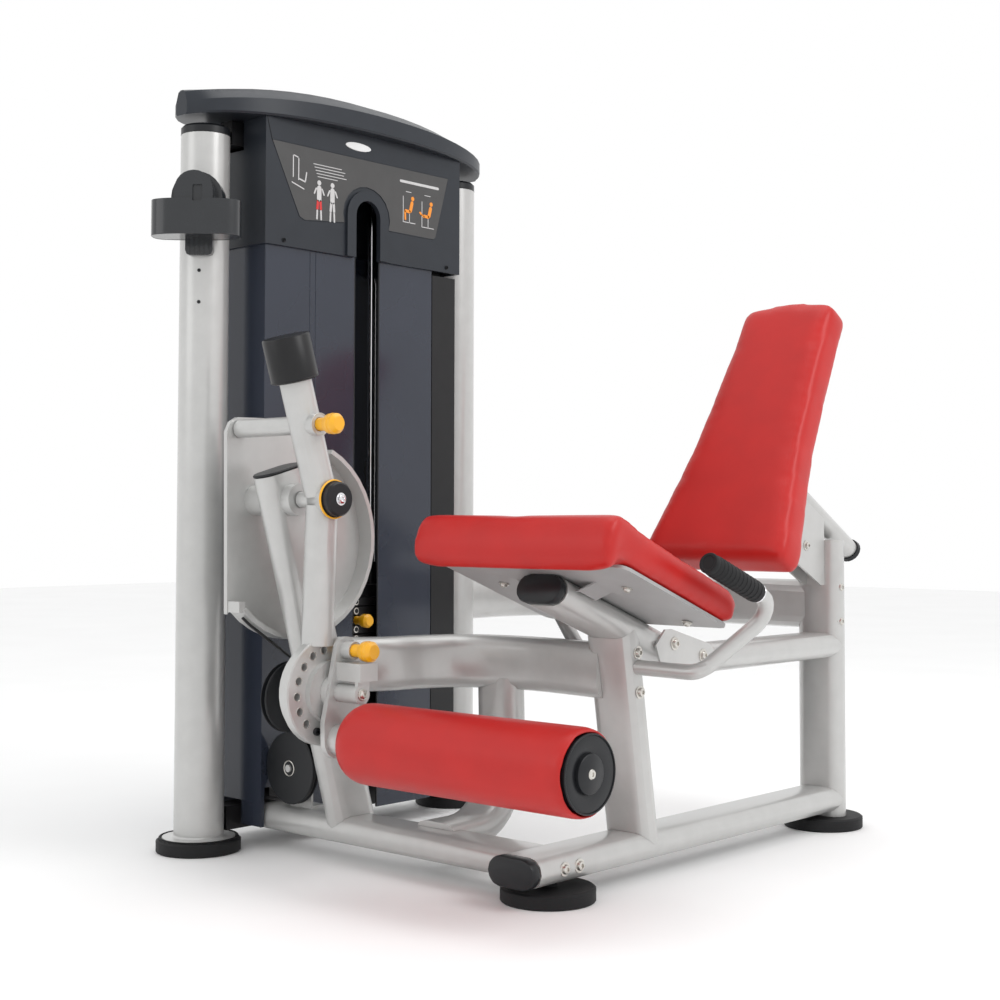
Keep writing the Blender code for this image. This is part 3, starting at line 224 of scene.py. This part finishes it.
def slab(name, outline, centre, u, v, thick, mat, body="frame", inset=0.0):
    """A flat piece: outline is (along u, along v); it stands thick off the plane, with a chamfered rim."""
    n = u.cross(v).normalized()
    middle = Vector((sum(a for a, b in outline), sum(b for a, b in outline), 0)) / len(outline)
    layers = [(0.0, 0.0), (thick - inset, 0.0), (thick, inset)] if inset else [(0.0, 0.0), (thick, 0.0)]
    points = []
    for h, shrink in layers:
        for a, b in outline:
            way = Vector((a - middle.x, b - middle.y, 0))
            keep = max(0.0, 1 - shrink / max(way.length, 1e-6))
            points.append(centre + u * (middle.x + way.x * keep) + v * (middle.y + way.y * keep) + n * h)
    count = len(outline)
    faces = []
    for k in range(len(layers) - 1):
        for i in range(count):
            j = (i + 1) % count
            faces.append((k * count + i, k * count + j, (k + 1) * count + j, (k + 1) * count + i))
    faces.append(tuple(range(count)))
    faces.append(tuple(range((len(layers) - 1) * count, len(layers) * count)))
    return add_piece(name, points, faces, mat, body, 25)


def bolt(name, point, normal, r=0.0085, body="frame", mat=ZINC, proud=0.0075):
    """A socket button-head screw on its washer; the head is domed and the socket is sunk."""
    head = [(0.0, r * 1.45), (0.0014, r * 1.45), (0.0016, r * 1.38), (0.0017, r), (0.0032, r), (proud - 0.0012, r * 0.86)]
    head += [(proud, r * 0.62), (proud, r * 0.44), (proud - 0.0028, r * 0.40), (proud - 0.0030, 0.0004)]
    obj = lathe(name, point, normal, head, mat, body, 24)
    return obj


# ---- cushions: the solid is remeshed, blown up a little as a closed cloth, and evened out ----
def cushion(node, name, body, cell, cap, pressure=4.0, evening=3, shrink=0.002, crown=None):
    source = nodes[node]
    mesh = source.data.copy()
    mesh.materials.clear()
    obj = bpy.data.objects.new(name, mesh)
    scene.collection.objects.link(obj)
    weld = obj.modifiers.new("weld", "WELD")
    weld.merge_threshold = 0.00002
    remesh = obj.modifiers.new("remesh", "REMESH")
    remesh.mode = "VOXEL"
    remesh.voxel_size = cell
    even = obj.modifiers.new("even", "SMOOTH")
    even.factor = 0.5
    even.iterations = 2
    graph = bpy.context.evaluated_depsgraph_get()
    grid = bpy.data.meshes.new_from_object(obj.evaluated_get(graph))
    obj.modifiers.clear()
    obj.data = grid
    start = [v.co - v.normal * shrink for v in grid.vertices]
    for v, p in zip(grid.vertices, start):
        v.co = p
    cloth = obj.modifiers.new("cloth", "CLOTH")
    cloth.settings.quality = 3
    cloth.settings.mass = 0.4
    cloth.settings.tension_stiffness = 25
    cloth.settings.compression_stiffness = 25
    cloth.settings.bending_stiffness = 4
    cloth.settings.use_pressure = True
    cloth.settings.uniform_pressure_force = pressure
    cloth.settings.effector_weights.gravity = 0
    cloth.collision_settings.use_collision = False
    cloth.point_cache.frame_start = 1
    cloth.point_cache.frame_end = 20
    for step in range(1, 21):
        scene.frame_set(step)
    graph = bpy.context.evaluated_depsgraph_get()
    blown = obj.evaluated_get(graph).to_mesh()
    moved = [v.co.copy() for v in blown.vertices]
    obj.evaluated_get(graph).to_mesh_clear()
    scene.frame_set(1)
    obj.modifiers.clear()
    for v, a, b in zip(grid.vertices, start, moved):
        step = b - a
        if step.length > cap:
            step = step.normalized() * cap
        v.co = a + step
        if crown:
            v.co = crown(v.co)
    even = obj.modifiers.new("even", "SMOOTH")
    even.factor = 0.5
    even.iterations = evening
    finer = obj.modifiers.new("finer", "SUBSURF")
    finer.levels = 1
    finer.render_levels = 1
    graph = bpy.context.evaluated_depsgraph_get()
    final = bpy.data.meshes.new_from_object(obj.evaluated_get(graph))
    obj.modifiers.clear()
    obj.data = final
    final.materials.clear()
    final.materials.append(VINYL)
    final.polygons.foreach_set("use_smooth", [True] * len(final.polygons))
    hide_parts(node)
    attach(obj, body)
    return obj


cushion("seat_pad", "seat_cushion", "frame", 0.0105, 0.006)
cushion("back_pad", "back_cushion", "frame", 0.0105, 0.006)
cushion("shin_roller", "roller_cushion", "roller", 0.0090, 0.004, 2.0)

# ---- bolts on the frame ----
SIDE = 0.806 + 0.0535
for i, (x, y, z) in enumerate((
    (0.8537, 1.0950, 0.528), (0.8537, 1.0950, 0.453), (0.8575, 0.3520, 0.429), (0.8575, 0.3590, 0.355),
    (0.8648, 0.4590, 0.440), (0.8648, 0.5520, 0.412), (0.8575, 0.1400, 0.064), (0.8575, 0.1800, 0.064),
)):
    bolt("side_bolt_%d" % (i + 1), at(x, y, z), X, 0.0088)
bolt("bracket_bolt", at(0.8302, 0.9940, 0.6210), X, 0.0075)
tilt = math.radians(20.5)
under = Vector((0, -math.sin(tilt), -math.cos(tilt)))
for i, (x, y, z) in enumerate(((0.9500, 0.2000, 0.5560), (0.9500, 0.3800, 0.4880), (0.6600, 0.2000, 0.5560))):
    bolt("seat_bolt_%d" % (i + 1), at(x, y, z), under, 0.0070)
for i, (y, z) in enumerate(((0.129, 1.262), (0.620, 1.262))):
    bolt("cover_screw_%d" % (i + 1), at(0.0994, y, z), X, 0.0035, mat=BLACK, proud=0.0028)

# ---- weld beads where tubes meet the uprights and posts ----
for name, y in (("front", 0.0), ("rear", 0.7466)):
    ring(name + "_collar", at(0, y, 1.4735), Z, 0.0500, 0.0013, STEEL, flat=1.0)
    ring(name + "_foot_bead", at(0, y, 0.0290), Z, 0.0790, 0.0016, RUBBER)
for name, y in (("seat_front", 0.1553), ("seat_rear", 1.0969)):
    ring(name + "_foot_bead", at(0.806, y, 0.0190), Z, 0.0852, 0.0010, RUBBER)
for i, z in enumerate((1.1850, 1.1200)):
    lathe("upright_plug_%d" % (i + 1), at(0.0330, -0.0385, z), Vector((0.65, -0.76, 0)),
          [(0.0, 0.0038), (0.0012, 0.0036), (0.0014, 0.0020), (0.0006, 0.0010)], BLACK, "frame", 16)

# ---- header: placard with plain pictograms, outlines, and a plain badge ----
FACE = 0.0995
SLOT_Y = 0.3665
outline = [(0.096, 1.470), (0.624, 1.471), (0.583, 1.327), (0.576, 1.322), (0.4365, 1.3225)]
for i in range(13):
    a = math.radians(-18 + 216 * i / 12)
    outline.append((SLOT_Y + 0.0700 * math.cos(a), 1.3440 + 0.0660 * math.sin(a)))
outline += [(0.300, 1.3225), (0.186, 1.3120), (0.172, 1.3180)]
slab("header_placard", outline, at(FACE, 0, 0), Y, Z, 0.0008, PLACARD)
edge = [at(FACE + 0.0004, a, b) for a, b in outline]
bar("placard_rim", edge, 0.0008, COVER, "frame", 6, True)
bar("header_groove", [at(FACE + 0.0002, 0.096, 1.470), at(FACE + 0.0002, 0.081, 1.523)], 0.0009, BLACK, "frame", 6)
badge = []
for i in range(28):
    a = math.tau * i / 28
    badge.append((0.3400 + 0.0380 * math.cos(a), 1.4960 + 0.0090 * math.sin(a)))
slab("plain_badge", badge, at(FACE, 0, 0), Y, Z, 0.0014, BADGE, inset=0.0008)

MARK = at(FACE + 0.0008, 0, 0)


def spot(name, y, z, r, mat):
    shape = [(y + r * math.cos(math.tau * i / 20), z + r * math.sin(math.tau * i / 20)) for i in range(20)]
    return slab(name, shape, MARK, Y, Z, 0.0005, mat)


def limb(name, ends, wide, mat):
    """A rounded stroke between two points of the placard."""
    a, b = Vector(ends[0]), Vector(ends[1])
    run = (b - a).normalized()
    side = Vector((-run.y, run.x))
    turn = math.atan2(side.y, side.x)
    shape = []
    for i in range(7):
        t = turn + math.pi * i / 6
        shape.append(tuple(a + Vector((math.cos(t), math.sin(t))) * wide / 2))
    for i in range(7):
        t = turn + math.pi + math.pi * i / 6
        shape.append(tuple(b + Vector((math.cos(t), math.sin(t))) * wide / 2))
    return slab(name, shape, MARK, Y, Z, 0.0005, mat)


def figure(tag, y, z, mark):
    """A plain standing figure, with the thighs coloured when it is the marked one."""
    spot(tag + "_head", y, z + 0.080, 0.0055, LINE)
    limb(tag + "_trunk", ((y, z + 0.068), (y, z + 0.045)), 0.0125, LINE)
    for s in (-1, 1):
        leg = REDMARK if mark else LINE
        limb("%s_thigh_%d" % (tag, s + 2), ((y + s * 0.0035, z + 0.040), (y + s * 0.0050, z + 0.024)), 0.0062, leg)
        limb("%s_shin_%d" % (tag, s + 2), ((y + s * 0.0052, z + 0.020), (y + s * 0.0060, z + 0.002)), 0.0044, LINE)
        limb("%s_arm_%d" % (tag, s + 2), ((y + s * 0.0085, z + 0.067), (y + s * 0.0135, z + 0.056)), 0.0036, LINE)


def sitter(tag, y, z, lift):
    """A plain seated figure on a simple seat, with the shin hanging or lifted."""
    limb(tag + "_base", ((y - 0.016, z), (y + 0.020, z)), 0.0018, LINE)
    limb(tag + "_post", ((y + 0.002, z), (y + 0.002, z + 0.020)), 0.0018, LINE)
    limb(tag + "_tower", ((y - 0.018, z), (y - 0.018, z + 0.058)), 0.0018, LINE)
    spot(tag + "_head", y + 0.012, z + 0.056, 0.0050, ORANGE)
    limb(tag + "_trunk", ((y + 0.010, z + 0.046), (y + 0.005, z + 0.028)), 0.0090, ORANGE)
    limb(tag + "_thigh", ((y + 0.002, z + 0.025), (y - 0.010, z + 0.026)), 0.0070, ORANGE)
    foot = (y - 0.024, z + 0.032) if lift else (y - 0.011, z + 0.007)
    limb(tag + "_shin", ((y - 0.012, z + 0.024), foot), 0.0050, ORANGE)


limb("machine_post", ((0.1530, 1.400), (0.1530, 1.447)), 0.0024, LINE)
limb("machine_post_rear", ((0.1680, 1.396), (0.1680, 1.443)), 0.0024, LINE)
limb("machine_top", ((0.1530, 1.447), (0.1680, 1.443)), 0.0024, LINE)
limb("machine_base", ((0.1500, 1.388), (0.1830, 1.378)), 0.0024, LINE)
limb("machine_seat", ((0.1700, 1.398), (0.1860, 1.394)), 0.0030, LINE)
limb("machine_back", ((0.1870, 1.396), (0.1900, 1.414)), 0.0030, LINE)
for i, far in enumerate((0.290, 0.300, 0.296, 0.304, 0.278)):
    z = 1.4370 - i * 0.0065
    limb("placard_bar_%d" % (i + 1), ((0.2100 + i * 0.003, z), (far, z)), 0.0016, LINE)
limb("placard_heading", ((0.4700, 1.4420), (0.5900, 1.4420)), 0.0060, LINE)
figure("marked_figure", 0.2260, 1.318, True)
figure("plain_figure", 0.2640, 1.318, False)
limb("start_caption", ((0.487, 1.4200), (0.503, 1.4200)), 0.0016, LINE)
limb("finish_caption", ((0.547, 1.4200), (0.565, 1.4200)), 0.0016, LINE)
sitter("start_sitter", 0.4960, 1.350, False)
sitter("finish_sitter", 0.5560, 1.346, True)

# ---- shields: joint lines, inner skirt and edge strips ----
for i, y in enumerate((0.2090, 0.2250)):
    bar("shield_joint_%d" % (i + 1), [at(0.0927, y, 0.0500), at(0.0927, y, 1.2480)], 0.0011, SMOKE, "frame", 8)
slab("inner_skirt_front", [(0.0880, 1.1700), (0.3380, 1.1700), (0.3380, 1.2480), (0.0880, 1.2480)],
     at(0.0880, 0, 0), Y, Z, 0.0012, BLACK)
slab("inner_skirt_rear", [(0.4120, 1.1700), (0.5770, 1.1700), (0.5770, 1.2480), (0.4120, 1.2480)],
     at(0.0880, 0, 0), Y, Z, 0.0012, BLACK)
for name, y in (("front", 0.3380), ("rear", 0.4120)):
    bar(name + "_shield_edge", [at(0.0911, y, 0.0470), at(0.0911, y, 1.2880)], 0.0022, BLACK, "frame", 10)

# ---- weight stack: selector holes on the plate faces, each holding a black disc of painted shade ----
for i in range(20):
    z = 0.5047 - 0.0203 * (i + 0.5)
    if i == 2:
        continue
    body = "stack" if i < 3 else "frame"
    lathe("plate_hole_%02d" % (i + 1), at(0.0658, 0.3733, z), X, [(0.0, 0.0075), (0.0005, 0.0075), (0.0007, 0.0060)],
          ZINC, body, 20)
    # the black disc in each hole is painted shade: it stands for the dark, shaded depth of the open hole
    lathe("plate_hole_dark_%02d" % (i + 1), at(0.0663, 0.3733, z), X, [(0.0, 0.0052), (0.0005, 0.0050)], BLACK, body, 16)
for name, y in (("front", 0.3733 - 0.103), ("rear", 0.3733 + 0.103)):
    lathe(name + "_rod_bumper", at(0, y, 0.0855), Z, [(0.0, 0.0200), (0.0020, 0.0210), (0.0110, 0.0210), (0.0125, 0.0190)],
          RUBBER, "frame", 24)
    lathe(name + "_rod_collar", at(0, y, 1.4440), Z, [(0.0, 0.0150), (0.0015, 0.0160), (0.0150, 0.0160), (0.0165, 0.0150)],
          STEEL, "frame", 24)
ring("selector_neck", at(0.0900, 0.3733, 0.4540), X, 0.0118, 0.0016, BLACK, "selector")

# ---- cup holder: lower rim bead and clamp ribs ----
out = Vector((0.6740, -0.7390, 0)).normalized()
across = Vector((-out.y, out.x, 0))
for i in range(5):
    a = -0.020 + 0.010 * i
    foot = at(0, 0, 1.2180) + across * a + out * (0.0450 + 0.0203)
    bar("holder_rib_%d" % (i + 1), [foot, foot + Z * 0.036], 0.0011, HOLDER, "frame", 8)
rim = []
for i in range(56):
    a = math.tau * i / 56
    c = math.cos(a)
    s = math.sin(a)
    wide = math.copysign(abs(c) ** 0.7, c) * 0.0892
    deep = 0.0930 + math.copysign(abs(s) ** 0.7, s) * 0.0412
    if deep > 0.060:
        rim.append(at(0, 0, 1.2465) + across * wide + out * deep)
bar("holder_lower_bead", rim, 0.0010, HOLDER, "frame", 8)

# ---- start pin sleeve, pivot cap, drum and roller end ----
sleeve = at(0.4470, -0.0730, 0.8512)
ring("sleeve_lip", sleeve, X, 0.0205, 0.0012, SILVER, "arm")
ring("start_knob_ring", sleeve + X * 0.0370, X, 0.0187, 0.0010, YELLOW, "start_pin_body")
pivot = at(0.4450, -0.0302, 0.7134)
ring("pivot_yellow_ring", pivot - X * 0.0052, X, 0.0350, 0.0024, YELLOW, "arm")
lathe("pivot_bolt", pivot + X * 0.0128, X, [(0.0, 0.0120), (0.0014, 0.0120), (0.0016, 0.0090), (0.0050, 0.0085),
      (0.0060, 0.0060), (0.0060, 0.0042), (0.0034, 0.0038)], CHROME, "arm", 24)
drum = at(0.4130, -0.0180, 0.3545)
ring("drum_rim_bead", drum + X * 0.0005, X, 0.1010, 0.0012, SILVER, "arm", 64)
for i in range(8):
    a = math.radians(79.5 + 20.8 * i)
    hole = drum + X * 0.0032 + Y * (0.079 * math.cos(a)) + Z * (0.079 * math.sin(a))
    ring("drum_hole_edge_%d" % (i + 1), hole, X, 0.0080, 0.0007, ZINC, "arm", 24, 8)
lathe("drum_stop_bolt", drum + X * 0.0030 + Y * (0.079 * math.cos(math.radians(246))) + Z * (0.079 * math.sin(math.radians(246))),
      X, [(0.0, 0.0075), (0.0050, 0.0075), (0.0062, 0.0062), (0.0062, 0.0036), (0.0035, 0.0032)], BLACK, "arm", 20)
collar = at(0.4700, -0.0180 + 0.079 * math.cos(math.radians(79.5)), 0.3545 + 0.079 * math.sin(math.radians(79.5)))
ring("adjust_collar_lip", collar, X, 0.0160, 0.0011, SILVER, "bracket")
ring("adjust_knob_ring", collar + X * 0.0370, X, 0.0187, 0.0010, YELLOW, "adjust_pin_body")
bolt("bracket_lug_bolt", at(0.5066, -0.0180, 0.3545), X, 0.0080, "bracket", ZINC, 0.0060)
end = at(1.0452, -0.0220, 0.2680)
ring("roller_end_rim", end, X, 0.0640, 0.0016, BLACK, "roller", 48)
lathe("roller_end_screw", end + X * 0.0030, X, [(0.0, 0.0085), (0.0012, 0.0085), (0.0030, 0.0070), (0.0030, 0.0035),
      (0.0014, 0.0030)], ZINC, "roller", 24)
ring("weight_low_lip", at(0.405, -0.0302, 0.7134) + Vector((0, -0.2930, 0.9561)).normalized() * 0.2335,
     Vector((0, -0.2930, 0.9561)), 0.0445, 0.0013, STEEL, "arm", 48)

# ---- hand grips: chrome collar, ribs and open end ----
rail = Vector((0, math.cos(tilt), -math.sin(tilt)))
for name, s in (("right", 1), ("left", -1)):
    start = at(0.806 + s * 0.274, 0.485, 0.518) - rail * 0.238 + rail * 0.010
    ring(name + "_grip_collar", start + rail * 0.1525, rail, 0.0165, 0.0022, CHROME)
    for i in range(11):
        ring("%s_grip_rib_%02d" % (name, i + 1), start + rail * (0.012 + 0.0125 * i), rail, 0.0193, 0.0009, RUBBER,
             "frame", 28, 6)
    lathe(name + "_grip_end", start, -rail, [(0.0003, 0.0186), (0.0095, 0.0192), (0.0120, 0.0180), (0.0122, 0.0140),
          (0.0106, 0.0125)], RUBBER, "frame", 28)

# ---- pulleys: bearing faces ----
for name, body, centre, axis in (
    ("cam", "cam_pulley_body", at(0.235, 0.041, 0.326), X),
    ("floor", "floor_pulley_body", at(0.167, 0.106, 0.172), -Y),
    ("tower", "tower_pulley_body", at(0.0, 0.106, 0.1573), -Y),
):
    ring(name + "_pulley_bearing", centre + axis * 0.0086, axis, 0.0150, 0.0014, ZINC, body)

# ---- floor, light and camera ----
floor_mesh = bpy.data.meshes.new("studio_floor")
floor_mesh.from_pydata([(-12, -12, 0), (12, -12, 0), (12, 12, 0), (-12, 12, 0)], [], [(0, 1, 2, 3)])
floor = bpy.data.objects.new("studio_floor", floor_mesh)
floor.location.z = -0.0005
floor_mesh.materials.append(material("studio_floor", (0.93, 0.93, 0.93), 0.7, 0.0, 0.01, 2, 0.0, specular=0.1))
scene.collection.objects.link(floor)

world = bpy.data.worlds.new("studio")
scene.world = world
world.use_nodes = True
world.node_tree.nodes["Background"].inputs["Color"].default_value = (1.0, 1.0, 1.0, 1)
world.node_tree.nodes["Background"].inputs["Strength"].default_value = 1.0


def lamp(name, place, aim, size, power):
    data = bpy.data.lights.new(name, "AREA")
    data.shape = "RECTANGLE"
    data.size = size[0]
    data.size_y = size[1]
    data.energy = power
    obj = bpy.data.objects.new(name, data)
    scene.collection.objects.link(obj)
    obj.location = place
    obj.rotation_mode = "QUATERNION"
    obj.rotation_quaternion = (Vector(aim) - Vector(place)).to_track_quat("-Z", "Y")
    return obj


lamp("key", (3.4, 0.4, 3.2), (0.0, 0.0, 0.7), (1.6, 1.6), 42)
lamp("fill", (-1.5, -4.0, 2.2), (0.0, 0.0, 0.8), (2.0, 2.0), 12)
lamp("top", (0.3, 0.3, 4.0), (0.0, 0.0, 0.0), (2.5, 2.5), 25)

yaw = math.radians(42.0165)
pitch = math.radians(2.6033)
roll = math.radians(0.0948)
ahead = Vector((-math.sin(yaw) * math.cos(pitch), math.cos(yaw) * math.cos(pitch), math.sin(pitch)))
right = Vector((math.cos(yaw), math.sin(yaw), 0))
above = right.cross(ahead)
cam_right = right * math.cos(roll) + above * math.sin(roll)
cam_up = above * math.cos(roll) - right * math.sin(roll)
camera_data = bpy.data.cameras.new("camera")
camera_data.lens = 57.27
camera_data.sensor_width = 36
camera_data.shift_x = -0.00239
camera_data.shift_y = -0.0520
camera = bpy.data.objects.new("camera", camera_data)
scene.collection.objects.link(camera)
camera.matrix_world = Matrix.Translation(at(2.6613, -2.0273, 0.6745)) @ Matrix(
    ((cam_right.x, cam_up.x, -ahead.x), (cam_right.y, cam_up.y, -ahead.y), (cam_right.z, cam_up.z, -ahead.z))
).to_4x4()
scene.camera = camera
scene.view_settings.view_transform = "Standard"
